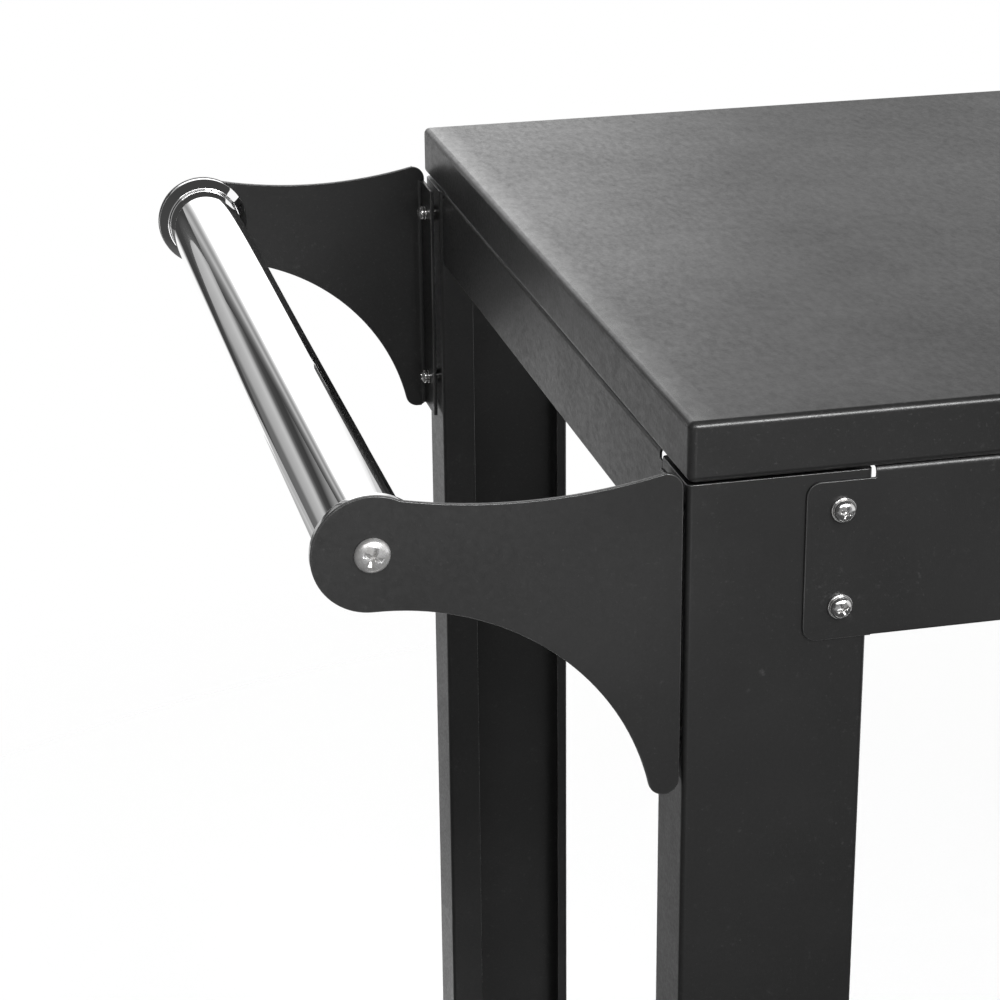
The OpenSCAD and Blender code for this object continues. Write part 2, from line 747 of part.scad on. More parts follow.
// The shelf is one sheet: a floor cut out round the legs, with four skirts
module lower_shelf() {
  foot_z = shelf_h - shelf_skirt;
  clear_x = leg_wide + flange_relief;
  clear_y = leg_side + notch_gap;
  half_l = legs_l / 2 - rail_inset;
  color(powder_black) {
    for (back = [0, 1]) {
      panel_tabs(back, shelf_h, shelf_skirt, shelf_screw_heights());
      at_side(back) run_x(left_x + clear_x, right_x - clear_x)
        translate([front_y - panel_t, foot_z])
        channel(shelf_skirt, flange_w, return_w, panel_t, bend_r);
    }
    for (right = [0, 1]) at_corner(right, 0) run_y(clear_y, legs_d - clear_y)
      translate([rail_inset, foot_z]) channel(shelf_skirt, flange_w, return_w, panel_t, bend_r);
    translate([left_x + clear_x, front_y + flange_w - 2 * panel_t, shelf_h - panel_t])
      cube([legs_l - 2 * clear_x, legs_d - 2 * flange_w + 4 * panel_t, panel_t]);
    translate([mid_x - half_l + bend_r, front_y + clear_y, shelf_h - panel_t])
      cube([2 * half_l - 2 * bend_r, legs_d - 2 * clear_y, panel_t]);
  }
}

module shelf_stiffeners() {
  half_d = legs_d / 2 - return_w;
  color(powder_black) for (side = [-1, 1])
    run_y(-half_d, half_d)
      translate([mid_x + side * shelf_stiffener_pitch / 2, shelf_h - panel_t - shelf_stiffener_h])
      hat(stiffener_w, stiffener_brim, shelf_stiffener_h, panel_t);
}

module shelf_screws() {
  color(zinc) at_tab_screws(shelf_screw_heights()) tab_screw();
}

module shelf_washers() {
  color(zinc) at_tab_screws(shelf_screw_heights()) panel_washer();
}

module shelf_nuts() {
  color(zinc) at_tab_screws(shelf_screw_heights()) tab_nut();
}

// Places a piece drawn outwards from the wide face of a leg, on the axle's axis
module at_axle(back) {
  at_side(back) translate([axle_x, front_y, axle_z]) rotate([90, 0, 0]) children();
}

module axle() {
  color(zinc) union() {
    translate([axle_x, 0, axle_z])
      rod_y(axle_d, front_y - shoulder_y, -front_y + shoulder_y);
    for (back = [0, 1]) at_axle(back) cylinder(d = axle_end_d, h = axle_tip);
  }
}

module axle_washers() {
  color(zinc) for (back = [0, 1]) at_axle(back) {
    washer(axle_washer_d, axle_d + 2 * hole_gap, axle_washer_t);
    translate([0, 0, shoulder_y]) washer(axle_washer_d, axle_end_d + 2 * hole_gap, axle_washer_t);
  }
}

module axle_nuts() {
  color(zinc) for (back = [0, 1]) at_axle(back)
    translate([0, 0, shoulder_y + axle_washer_t]) nut(axle_nut_af, axle_end_d + 2 * thread_gap, axle_nut_t);
}

// A moulded wheel: a rim, a hub, a web between them and spokes on both its faces
module wheel(back) {
  mid = hub_start + hub_l / 2;
  spoke_w = wheel_w - 2 * rim_wall;
  color(plastic_black) at_axle(back) difference() {
    union() {
      translate([0, 0, tyre_start]) difference() {
        cylinder(d = rim_d, h = wheel_w, $fn = 96);
        translate([0, 0, -eps]) cylinder(d = rim_d - 2 * rim_wall, h = wheel_w + 2 * eps, $fn = 96);
      }
      translate([0, 0, mid - wheel_web_t / 2]) cylinder(d = rim_d - rim_wall, h = wheel_web_t);
      translate([0, 0, hub_start]) cylinder(d = hub_d, h = hub_l);
      for (i = [0 : spokes - 1]) rotate([0, 0, i * 360 / spokes])
        translate([0, -spoke_t / 2, mid - spoke_w / 2]) cube([rim_d / 2 - rim_wall / 2, spoke_t, spoke_w]);
    }
    translate([0, 0, hub_start - eps]) cylinder(d = bush_d + 2 * push_gap, h = hub_l + 2 * eps);
  }
}

module tyre(back) {
  color(rubber_black) at_axle(back) translate([0, 0, tyre_start]) difference() {
    rotate_extrude($fn = 96) {
      square([wheel_d / 2 - tyre_shoulder_r, wheel_w]);
      translate([0, tyre_shoulder_r]) square([wheel_d / 2, wheel_w - 2 * tyre_shoulder_r]);
      for (z = [tyre_shoulder_r, wheel_w - tyre_shoulder_r])
        translate([wheel_d / 2 - tyre_shoulder_r, z]) circle(tyre_shoulder_r);
    }
    translate([0, 0, -eps]) cylinder(d = rim_d + 2 * push_gap, h = wheel_w + 2 * eps, $fn = 96);
  }
}

module bush(back) {
  color(nylon_white) at_axle(back) translate([0, 0, hub_start])
    washer(bush_d, axle_d + 2 * axle_gap, hub_l);
}

// A domed cap on the hub's outer face, clear of the lock nut
module wheel_cap(back) {
  dome_r = wheel_cap_wall * 2;
  color(plastic_black) at_axle(back) translate([0, 0, hub_end]) difference() {
    rotate_extrude() {
      square([wheel_cap_d / 2, wheel_cap_h - dome_r]);
      square([wheel_cap_d / 2 - dome_r, wheel_cap_h]);
      translate([wheel_cap_d / 2 - dome_r, wheel_cap_h - dome_r]) circle(dome_r);
    }
    translate([0, 0, -eps])
      cylinder(d = wheel_cap_d - 2 * wheel_cap_wall, h = wheel_cap_h - wheel_cap_wall + eps);
  }
}

// A foot: a base under the leg, with a block that fills the folded section
module foot(back) {
  block_x = leg_t + push_gap;
  block_l = leg_wide - leg_return_lip - 2 * push_gap - block_x;
  block_d = leg_side - 2 * leg_t - 2 * push_gap;
  color(plastic_black) at_corner(0, back) difference() {
    union() {
      run_z(0, foot_base) translate([-foot_rim, -foot_rim])
        round_rect(leg_wide + 2 * foot_rim, leg_side + 2 * foot_rim, leg_bend_r + foot_rim);
      run_z(foot_base - eps, foot_base + foot_plug_h) translate([block_x, block_x])
        round_rect(block_l, block_d, leg_bend_r - leg_t);
    }
    translate([0, leg_side / 2, foot_screw_z])
      rod_x(small_screw_d + 2 * thread_gap, 0, foot_screw_l() + eps);
  }
}

function foot_screw_l() = leg_t + push_gap + foot_screw_reach;

module foot_screws() {
  color(zinc) for (back = [0, 1]) at_corner(0, back)
    translate([0, leg_side / 2, foot_screw_z]) rotate([0, -90, 0])
    screw(small_screw_d, foot_screw_l(), small_head_d, small_head_h);
}

top_sheet();
top_stiffeners();
top_screws();
top_nuts();
leg(0, 0);  // leg_front_left
leg(0, 1);  // leg_back_left
leg(1, 0);  // leg_front_right
leg(1, 1);  // leg_back_right
apron(0);  // apron_front
apron(1);  // apron_back
apron_screws();
apron_washers();
apron_nuts();
end_rail(0);  // end_rail_left
end_rail(1);  // end_rail_right
rail_screws();
rail_nuts();
handle_tube();
handle_plugs();
handle_cap(0);  // handle_cap_front
handle_cap(1);  // handle_cap_back
bracket(0);  // bracket_front
bracket(1);  // bracket_back
handle_screws();
bracket_spacers();
bracket_screws();
bracket_washers();
bracket_nuts();
lower_shelf();
shelf_stiffeners();
shelf_screws();
shelf_washers();
shelf_nuts();
axle();
axle_washers();
axle_nuts();
wheel(0);  // wheel_front
tyre(0);  // tyre_front
bush(0);  // bush_front
wheel_cap(0);  // wheel_cap_front
wheel(1);  // wheel_back
tyre(1);  // tyre_back
bush(1);  // bush_back
wheel_cap(1);  // wheel_cap_back
foot(0);  // foot_front
foot(1);  // foot_back
foot_screws();
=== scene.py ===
"""Looks of the grill cart: its finishes, rounded edges, worktop, tyres, tube, screws and studio."""

import json
import math

import bmesh
import bpy
from mathutils import Euler, Matrix, Vector
from mathutils.kdtree import KDTree


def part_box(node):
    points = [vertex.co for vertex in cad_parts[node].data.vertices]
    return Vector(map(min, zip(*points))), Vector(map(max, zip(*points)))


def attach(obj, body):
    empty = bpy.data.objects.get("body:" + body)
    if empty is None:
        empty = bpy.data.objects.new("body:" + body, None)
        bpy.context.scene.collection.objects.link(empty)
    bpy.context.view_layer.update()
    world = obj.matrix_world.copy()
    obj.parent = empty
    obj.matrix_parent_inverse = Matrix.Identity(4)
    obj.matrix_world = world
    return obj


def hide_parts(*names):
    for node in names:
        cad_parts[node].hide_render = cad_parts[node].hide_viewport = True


MM = 0.001
SAME_CORNER = 0.002 * MM
SAME_SEAM = 0.0005 * MM
SLIVER = 0.001 * MM
FLAT_ANGLE = math.radians(0.3)
SHARP_ANGLE = math.radians(28)
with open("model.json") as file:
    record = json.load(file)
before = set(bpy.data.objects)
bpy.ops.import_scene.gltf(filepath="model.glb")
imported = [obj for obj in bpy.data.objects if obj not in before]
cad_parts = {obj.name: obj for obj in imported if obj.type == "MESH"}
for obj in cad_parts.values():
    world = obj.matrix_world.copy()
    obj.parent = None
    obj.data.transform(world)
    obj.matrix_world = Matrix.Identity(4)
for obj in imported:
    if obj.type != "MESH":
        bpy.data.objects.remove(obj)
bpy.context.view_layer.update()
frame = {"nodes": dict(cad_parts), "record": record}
scene = bpy.context.scene


# Nodes

class Value:
    """A socket in a tree of nodes. Sums on it add their own Math nodes."""

    def __init__(self, nodes, socket):
        self.nodes, self.socket = nodes, socket

    def math(self, operation, first, second):
        return self.nodes.add("ShaderNodeMath", {"operation": operation}, {0: first, 1: second})

    def __add__(self, other):
        return self.math("ADD", self, other)

    def __sub__(self, other):
        return self.math("SUBTRACT", self, other)

    def __rsub__(self, other):
        return self.math("SUBTRACT", other, self)

    def __mul__(self, other):
        return self.math("MULTIPLY", self, other)

    def highest(self, other):
        return self.math("MAXIMUM", self, other)

    __radd__ = __add__
    __rmul__ = __mul__


class Nodes:
    """The nodes of a finish or of the sky."""

    def __init__(self, tree):
        self.tree = tree

    def add(self, kind, settings, sockets, out=0):
        """Adds a node with its settings and the values or links of its sockets."""
        node = self.tree.nodes.new(kind)
        for name, value in settings.items():
            if name == "stops":
                self.set_stops(node.color_ramp, value)
            else:
                setattr(node, name, value)
        for name, value in sockets.items():
            self.feed(node.inputs[name], value)
        return Value(self, node.outputs[out])

    def set_stops(self, ramp, stops):
        """Gives a ramp its stops, each a place from 0 to 1 and a linear grey."""
        while len(ramp.elements) < len(stops):
            ramp.elements.new(0.5)
        for stop, (place, level) in zip(ramp.elements, stops):
            stop.position, stop.color = place, (level, level, level, 1)

    def feed(self, socket, value):
        """Gives a socket a link or a plain value."""
        if isinstance(value, Value):
            self.tree.links.new(value.socket, socket)
        else:
            socket.default_value = value

    def span(self, value, low, high, start=0.0, end=1.0):
        """Stretches a value from low..high to start..end, and holds it there."""
        return self.add("ShaderNodeMapRange", {"clamp": True}, {
            "Value": value, "From Min": low, "From Max": high, "To Min": start, "To Max": end})


class Finish(Nodes):
    """A finish of the cart: a node material round one shader."""

    def __init__(self, name, **settings):
        self.material = bpy.data.materials.new(name)
        self.material.use_nodes = True
        super().__init__(self.material.node_tree)
        self.shader = self.tree.nodes["Principled BSDF"]
        for socket, value in settings.items():
            self.shader.inputs[socket.replace("_", " ").title().replace("Ior", "IOR")].default_value = value
        self.place = self.add("ShaderNodeTexCoord", {}, {}, "Object")

    def along(self, axis):
        """Distance in metres along axis 0, 1 or 2 of the cart."""
        return self.add("ShaderNodeSeparateXYZ", {}, {0: self.place}, axis)

    def noise(self, scale, detail=2.0, roughness=0.5, stretch=(1, 1, 1)):
        """Soft random cover from 0 to 1, with scale features to the metre."""
        place = self.place
        if stretch != (1, 1, 1):
            place = self.add("ShaderNodeMapping", {}, {"Vector": place, "Scale": stretch})
        return self.add("ShaderNodeTexNoise", {}, {
            "Vector": place, "Scale": scale, "Detail": detail, "Roughness": roughness})

    def tint(self, mask, bare, full):
        """Goes from the colour bare to the colour full as the mask goes from 0 to 1."""
        return self.add("ShaderNodeMix", {"data_type": "RGBA"}, {0: mask, 6: bare, 7: full}, 2)

    def worn_edge(self):
        """1 on the rounded edges of a piece and 0 elsewhere. It paints edge wear, and on the powder coat a
        painted highlight.
        """
        return self.add("ShaderNodeAttribute", {"attribute_name": "worn_edge"}, {}, "Fac")

    def relief(self, height, distance, strength=1.0):
        """Raises the surface by a height of 0 to 1 times a distance in metres."""
        bump = self.add("ShaderNodeBump", {}, {"Height": height, "Distance": distance, "Strength": strength})
        self.feed(self.shader.inputs["Normal"], bump)

    def paint(self, colour, roughness):
        """Gives the shader its colour and roughness, and hands over the material."""
        self.feed(self.shader.inputs["Base Color"], colour)
        self.feed(self.shader.inputs["Roughness"], roughness)
        return self.material


def grey(level, warm=0.0):
    """A linear colour from a screen grey of 0 to 255."""
    tone = level / 255
    tone = tone / 12.92 if tone <= 0.04045 else ((tone + 0.055) / 1.055) ** 2.4
    return tone * (1 + warm), tone, tone * (1 - warm), 1


# Finishes

def powder_coat():
    """Black powder coat: a fine grain with clouds and patches of gloss, faint scuffs, and edges painted paler
    as a painted highlight.
    """
    coat = Finish("black_powder_coat", specular_ior_level=0.5, coat_roughness=0.26, coat_ior=1.5)
    grain = coat.noise(620, 3, 0.62)
    fine = coat.noise(1500, 2, 0.6)
    peel = coat.noise(210, 2, 0.5)
    patch = coat.span(coat.noise(330, 4, 0.65, (1, 0.4, 1)), 0.35, 0.65)
    cloud = coat.noise(10, 3, 0.5)
    smear = coat.noise(38, 3, 0.6)
    edge = coat.worn_edge()
    specks = coat.span(coat.noise(780, 2, 0.6), 0.64, 0.74)
    scuffs = coat.span(coat.noise(240, 4, 0.7, (1, 0.3, 1)), 0.6, 0.7)
    colour = coat.tint(coat.span(cloud, 0.3, 0.7), grey(29), grey(34))
    colour = coat.tint(coat.span(grain, 0.35, 0.65) * 0.4, colour, grey(18))
    colour = coat.tint(specks * 0.5, colour, grey(66))
    colour = coat.tint(scuffs * coat.span(smear, 0.45, 0.6) * 0.5, colour, grey(62))
    # Painted highlight: the rounded edges are mixed towards a paler grey, standing for light lines along
    # them.
    colour = coat.tint(edge * coat.span(smear, 0.35, 0.65, 0.1, 0.5), colour, grey(90))
    coat.relief(grain * 0.6 + fine * 0.15 + peel * 0.25, 0.00006, 0.7)
    gloss = coat.span(cloud + (smear - 0.5) * 0.4, 0.32, 0.72, 0.04, 0.3)
    gloss = gloss + (patch - 0.5) * 0.2 + (grain - 0.5) * 0.7
    coat.feed(coat.shader.inputs["Coat Weight"], gloss + edge * 0.4)
    rough = coat.span(cloud, 0.3, 0.7, 0.35, 0.38) + (grain - 0.5) * 0.3 - (patch - 0.5) * 0.04
    return coat.paint(colour, rough + scuffs * 0.06 - edge * 0.12)


def chrome_plate():
    """Bright chrome with the faint draw lines of the tube, a light haze and a few dull specks."""
    plate = Finish("chrome", metallic=1.0)
    drawn = plate.noise(700, 2, 0.5, (1, 0.02, 1))
    haze = plate.noise(30, 3, 0.55)
    specks = plate.span(plate.noise(1500, 2, 0.6), 0.70, 0.80)
    colour = plate.tint(plate.span(haze, 0.35, 0.7), grey(253), grey(247))
    colour = plate.tint(specks * 0.3, colour, grey(170))
    plate.relief(drawn, 0.0000012, 0.2)
    return plate.paint(colour, plate.span(haze, 0.35, 0.75, 0.015, 0.04) + specks * 0.08)


def zinc_plate():
    """Bright zinc with fine crystals. The handle screws, which hands reach, are duller than the rest."""
    plate = Finish("bright_zinc")
    handled = plate.span(plate.along(0), -0.53, -0.5, 1.0, 0.0)
    plate.feed(plate.shader.inputs["Metallic"], plate.span(handled, 0.0, 1.0, 0.96, 0.7))
    crystal = plate.noise(1900, 3, 0.6)
    dull = plate.noise(260, 3, 0.6)
    edge = plate.worn_edge()
    colour = plate.tint(plate.span(dull, 0.35, 0.65), grey(226), grey(192, 0.02))
    colour = plate.tint(edge * 0.5, colour, grey(232))
    plate.relief(crystal, 0.00002, 0.4)
    return plate.paint(colour, plate.span(dull, 0.3, 0.7, 0.1, 0.24) + handled * 0.12 + (crystal - 0.5) * 0.1)


def moulded_plastic():
    """Black plastic of the wheels, caps and feet: a sparked grain, flow marks, scuffs and paler edges."""
    plastic = Finish("black_plastic", specular_ior_level=0.45)
    spark = plastic.noise(1500, 3, 0.6)
    flow = plastic.noise(24, 3, 0.55)
    scuff = plastic.span(plastic.noise(160, 4, 0.65, (1, 1, 0.3)), 0.58, 0.72)
    edge = plastic.worn_edge()
    colour = plastic.tint(plastic.span(flow, 0.3, 0.7), grey(30), grey(38))
    colour = plastic.tint(scuff * 0.5, colour, grey(70))
    colour = plastic.tint(edge * plastic.span(flow, 0.35, 0.65, 0.1, 0.5), colour, grey(84))
    plastic.relief(spark, 0.00006, 0.5)
    return plastic.paint(colour, plastic.span(flow, 0.3, 0.7, 0.46, 0.58) + scuff * 0.12)


def tyre_rubber():
    """Dull rubber with a rough skin, dust and rubbed edges."""
    rubber = Finish("tyre_rubber", specular_ior_level=0.35)
    skin = rubber.noise(1100, 3, 0.6)
    dust = rubber.span(rubber.noise(55, 4, 0.65), 0.45, 0.7)
    edge = rubber.worn_edge()
    colour = rubber.tint(dust, grey(34), grey(62, 0.05))
    colour = rubber.tint(edge * 0.35, colour, grey(90, 0.04))
    rubber.relief(skin, 0.0001, 0.5)
    return rubber.paint(colour, rubber.span(dust, 0, 1, 0.68, 0.88))


def bush_nylon():
    """White nylon with the marks of turning and a faint stain."""
    nylon = Finish("white_nylon", specular_ior_level=0.5)
    turned_marks = nylon.noise(900, 2, 0.5)
    stain = nylon.noise(120, 3, 0.6)
    colour = nylon.tint(nylon.span(stain, 0.35, 0.7), grey(226, 0.02), grey(200, 0.05))
    nylon.relief(turned_marks, 0.00003, 0.4)
    return nylon.paint(colour, nylon.span(stain, 0.3, 0.7, 0.36, 0.5))


FINISHES = {
    "black_powder_coat": powder_coat(),
    "chrome": chrome_plate(),
    "bright_zinc": zinc_plate(),
    "black_plastic": moulded_plastic(),
    "tyre_rubber": tyre_rubber(),
    "white_nylon": bush_nylon(),
}
BODY_OF = {node: body for body, nodes in frame["record"]["behaviour"]["bodies"].items() for node in nodes}
SLOT_OF = {part["node"]: part["material_slot"] for part in frame["record"]["subparts"]}


# Shaping

def in_scene(bm, name, material):
    """Makes a mesh an object of the scene, in one material."""
    mesh = bpy.data.meshes.new(name)
    bm.to_mesh(mesh)
    bm.free()
    mesh.materials.append(material)
    item = bpy.data.objects.new(name, mesh)
    scene.collection.objects.link(item)
    return item


def finished(bm, name, *nodes):
    """Makes a mesh in the cart's frame into a piece that stands for CAD nodes."""
    node = nodes[0]
    piece = in_scene(bm, name, FINISHES[SLOT_OF[node]])
    piece.data.shade_smooth()
    even = piece.modifiers.new("even_shading", "WEIGHTED_NORMAL")
    even.weight = 80
    even.keep_sharp = True
    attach(piece, BODY_OF[node])
    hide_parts(*nodes)
    return piece


def unit(axis):
    """The direction of axis 0, 1 or 2."""
    return Vector([1.0 if other == axis else 0.0 for other in range(3)])


def cut(bm, faces, place, normal, reach):
    """Cuts faces along a plane and keeps both sides. Corners within reach of the plane count as on it."""
    parts = set(faces) | {e for f in faces for e in f.edges} | {v for f in faces for v in f.verts}
    bmesh.ops.bisect_plane(bm, geom=list(parts), dist=reach, plane_co=place, plane_no=normal)


def turned(profile, steps):
    """A shape turned on a lathe from (radius, height) points in mm, about +Z."""
    bm = bmesh.new()
    verts = [bm.verts.new((radius * MM, 0, height * MM)) for radius, height in profile]
    edges = [bm.edges.new(pair) for pair in zip(verts, verts[1:])]
    bmesh.ops.spin(
        bm, geom=verts + edges, cent=(0, 0, 0), axis=(0, 0, 1), angle=math.tau, steps=steps, use_merge=True)
    bmesh.ops.remove_doubles(bm, verts=bm.verts, dist=SAME_SEAM)
    bmesh.ops.recalc_face_normals(bm, faces=bm.faces)
    return bm


def lay_across(bm, middle):
    """Turns a shape from +Z to lie across the cart, from front to back, about its middle."""
    bm.transform(Matrix.Translation(middle) @ Matrix.Rotation(math.radians(90), 4, "X"))


def round_edges(bm, width, segments=2):
    """Rounds the sharp edges, and marks the new faces in the mask of edge wear and painted highlight. A
    corner that would run out is left sharp.
    """
    wear_highlight_layer = bm.faces.layers.float.get("worn_edge") or bm.faces.layers.float.new("worn_edge")
    corners = KDTree(len(bm.verts))
    for count, vert in enumerate(bm.verts):
        corners.insert(vert.co, count)
    corners.balance()
    sharp = [e for e in bm.edges if len(e.link_faces) == 2 and e.calc_face_angle(0) > SHARP_ANGLE]
    made = bmesh.ops.bevel(
        bm, geom=sharp, offset=width, offset_type="OFFSET", segments=segments, profile=0.5,
        affect="EDGES", material=-1, clamp_overlap=False, loop_slide=False)
    for face in made["faces"]:
        face[wear_highlight_layer] = 1.0
    for vert in made["verts"]:
        corner, _, reach = corners.find(vert.co)
        if reach > 3 * width:
            vert.co = corner
    bmesh.ops.dissolve_degenerate(bm, edges=bm.edges, dist=SLIVER)


def merged_copy(node):
    """A copy of a CAD node's mesh, with its loose triangles joined up."""
    bm = bmesh.new()
    bm.from_mesh(frame["nodes"][node].data)
    bmesh.ops.remove_doubles(bm, verts=bm.verts, dist=SAME_CORNER)
    return bm


def softened(node, width, segments=2):
    """A CAD node with its sharp edges rounded, as coated or moulded ones are. The width is in mm."""
    bm = merged_copy(node)
    bmesh.ops.dissolve_limit(
        bm, angle_limit=FLAT_ANGLE, use_dissolve_boundaries=False,
        verts=bm.verts, edges=bm.edges, delimit=set())
    round_edges(bm, width * MM, segments)
    return finished(bm, node + "_finished", node)


# Screws

def screw_blank(head_d, head_h, shank_d, length, dome):
    """A screw of sizes in mm, its head up from z = 0, with a rolled thread and a cross recess."""
    head_r, shank_r = head_d / 2, shank_d / 2
    flank, dome_h, dome_steps = head_h * (1 - dome), head_h * dome, 8
    profile = [(0, head_h)]
    for step in range(1, dome_steps + 1):
        angle = math.pi / 2 * step / dome_steps
        profile.append((head_r * math.sin(angle) ** 0.85, flank + dome_h * math.cos(angle) ** 1.15))
    profile += [(head_r, flank * 0.5), (head_r * 0.985, flank * 0.15), (head_r * 0.95, 0), (shank_r, 0)]
    pitch, groove, plain, point = 0.75, 0.35, 0.8, 0.9
    root_r, depth = shank_r * 0.86, -plain
    while depth > point - length:
        profile += [(shank_r, depth), (root_r, depth - groove)]
        depth -= pitch
    profile += [(shank_r * 0.9, 0.4 - length), (shank_r * 0.7, -length), (0, -length)]
    bm = turned(profile, 36)
    sink_recess(bm, flank * MM, head_d * 0.27 * MM, head_d * 0.055 * MM, head_h * 0.62 * MM)
    return bm


def sink_recess(bm, flank, arm, half_slot, sink):
    """Sinks a cross into a screw head above its flank. The arms run in and down to a blunt end."""
    on_cut, head_above = 0.0001 * MM, flank * 0.9
    for reach in (arm, half_slot):
        for axis in (unit(0), unit(1)):
            for side in (-1, 1):
                top = [f for f in bm.faces if f.calc_center_median().z > head_above]
                cut(bm, top, axis * (side * reach), axis, on_cut)
    cross = []
    for face in bm.faces:
        middle = face.calc_center_median()
        x, y = abs(middle.x), abs(middle.y)
        if middle.z > flank and max(x, y) < arm and min(x, y) < half_slot:
            cross.append(face)
    sunk = bmesh.ops.extrude_face_region(bm, geom=cross)
    bmesh.ops.delete(bm, geom=cross, context="FACES")
    shallower, drawn_in = 0.45, 0.62
    for vert in [v for v in sunk["geom"] if isinstance(v, bmesh.types.BMVert)]:
        out = math.hypot(vert.co.x, vert.co.y) / arm
        vert.co.z -= sink * (1 - shallower * out)
        vert.co.x *= drawn_in
        vert.co.y *= drawn_in
    bmesh.ops.recalc_face_normals(bm, faces=bm.faces)


def solids(node):
    """The loose solids of a CAD node, each as its corners' places, in the same order each run."""
    bm = merged_copy(node)
    todo, found = set(bm.verts), []
    while todo:
        batch, group = [todo.pop()], []
        while batch:
            vert = batch.pop()
            group.append(vert.co.copy())
            for edge in vert.link_edges:
                other = edge.other_vert(vert)
                if other in todo:
                    todo.remove(other)
                    batch.append(other)
        found.append(group)
    bm.free()
    step = 0.01 * MM

    def rank(group):
        """Orders the solids from left to right, then from back to front, then from the bottom up."""
        x, y, z = [round(min(place[axis] for place in group) / step) for axis in range(3)]
        return x, -y, z

    return sorted(found, key=rank)


def screws(node, shank_d, head_h=3.6, dome=0.62):
    """Every screw of a CAD node, with a real head and recess, where the node has it. Sizes are in mm."""
    first_turn, next_turn = 20, 47
    whole = bmesh.new()
    for count, points in enumerate(solids(node)):
        low = Vector([min(p[i] for p in points) for i in range(3)])
        high = Vector([max(p[i] for p in points) for i in range(3)])
        size, middle = high - low, (low + high) / 2
        along = max(range(3), key=lambda i: size[i])
        head_d = min(size[i] for i in range(3) if i != along)
        head = [p[along] for p in points if (p - middle).cross(unit(along)).length > head_d * 0.4]
        outward = Vector((0.0, 0.0, 0.0))
        outward[along] = 1.0 if sum(head) / len(head) > middle[along] else -1.0
        blank = screw_blank(head_d / MM, head_h, shank_d, size[along] / MM - head_h, dome)
        seat = middle + outward * (size[along] / 2 - head_h * MM)
        aim = outward.to_track_quat("Z", "Y").to_matrix().to_4x4()
        driven = Matrix.Rotation(math.radians(first_turn + next_turn * count), 4, "Z")
        blank.transform(Matrix.Translation(seat) @ aim @ driven)
        part = bpy.data.meshes.new("part")
        blank.to_mesh(part)
        blank.free()
        whole.from_mesh(part)
        bpy.data.meshes.remove(part)
    return finished(whole, node + "_finished", node)


# Worktop, tyres and handle tube

def pan_block(bm, low, high, corner, rim):
    """A closed block with round upright corners and rolled rims, added to a mesh."""
    start, steps = set(bm.faces), 6
    bmesh.ops.create_cube(bm, size=1.0, matrix=Matrix.Translation((low + high) / 2) @ Matrix.Diagonal(
        (*(high - low), 1)))
    mine = [f for f in bm.faces if f not in start]
    upright = {e for f in mine for e in f.edges if abs((e.verts[0].co - e.verts[1].co).normalized().z) > 0.9}
    bmesh.ops.bevel(
        bm, geom=list(upright), offset=corner, offset_type="OFFSET", segments=steps, profile=0.5,
        affect="EDGES", material=-1, clamp_overlap=False)
    flat = [f for f in bm.faces if f not in start and abs(f.normal.z) > 0.9]
    bmesh.ops.bevel(
        bm, geom=list({e for f in flat for e in f.edges}), offset=rim, offset_type="OFFSET", segments=steps,
        profile=0.5, affect="EDGES", material=-1, clamp_overlap=False)
    return [f for f in bm.faces if f not in start]


def worktop():
    """The worktop: one pan of sheet with rolled rims, and lips folded in below round an open middle."""
    low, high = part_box("top_sheet")
    sheet, lip, roll_off = 1.2 * MM, 24 * MM, 16 * MM
    corner, rim = 3.4 * MM, 3 * MM
    near_top, on_cut = 0.01 * MM, 0.001 * MM
    wall = Vector((sheet, sheet, sheet))
    bm = bmesh.new()
    pan_block(bm, low, high, corner, rim)
    inside = pan_block(bm, low + wall, high - wall, corner - sheet, rim - sheet)
    bmesh.ops.recalc_face_normals(bm, faces=bm.faces)
    bmesh.ops.reverse_faces(bm, faces=inside)

    def foot():
        """The flat faces of the lips, outside and inside."""
        flat = [f for f in bm.faces if abs(f.normal.z) > 0.9]
        return [f for f in flat if f.calc_center_median().z < low.z + sheet + 0.1 * MM]

    for axis in (0, 1):
        for edge, side in ((low, 1), (high, -1)):
            cut(bm, foot(), edge + unit(axis) * side * lip, unit(axis), on_cut)
    mouth = []
    for face in foot():
        middle = face.calc_center_median()
        if low.x + lip < middle.x < high.x - lip and low.y + lip < middle.y < high.y - lip:
            mouth.append(face)
    bmesh.ops.delete(bm, geom=mouth, context="FACES")
    bmesh.ops.bridge_loops(bm, edges=[e for e in bm.edges if e.is_boundary])
    # The deck is cut where the painted highlight along its left, handle end fades out.
    deck = [f for f in bm.faces if f.calc_center_median().z > high.z - near_top]
    cut(bm, deck, (low.x + roll_off, 0, 0), unit(0), on_cut)
    # Painted highlight: the rims get a faint mark, and the deck gets a band along its left edge that fades
    # over roll_off. The coat paints these paler, as a soft light along that edge.
    wear_highlight_layer = bm.verts.layers.float.new("worn_edge")
    rim_highlight, handle_end_highlight = 0.15, 0.7
    for vert in bm.verts:
        flat = any(max(abs(part) for part in face.normal) > 0.97 for face in vert.link_faces)
        vert[wear_highlight_layer] = 0.0 if flat else rim_highlight
        if vert.co.z > high.z - near_top:
            vert[wear_highlight_layer] = max(0.0, handle_end_highlight * (1 - (vert.co.x - low.x) / roll_off))
    return finished(bm, "top_sheet_finished", "top_sheet")


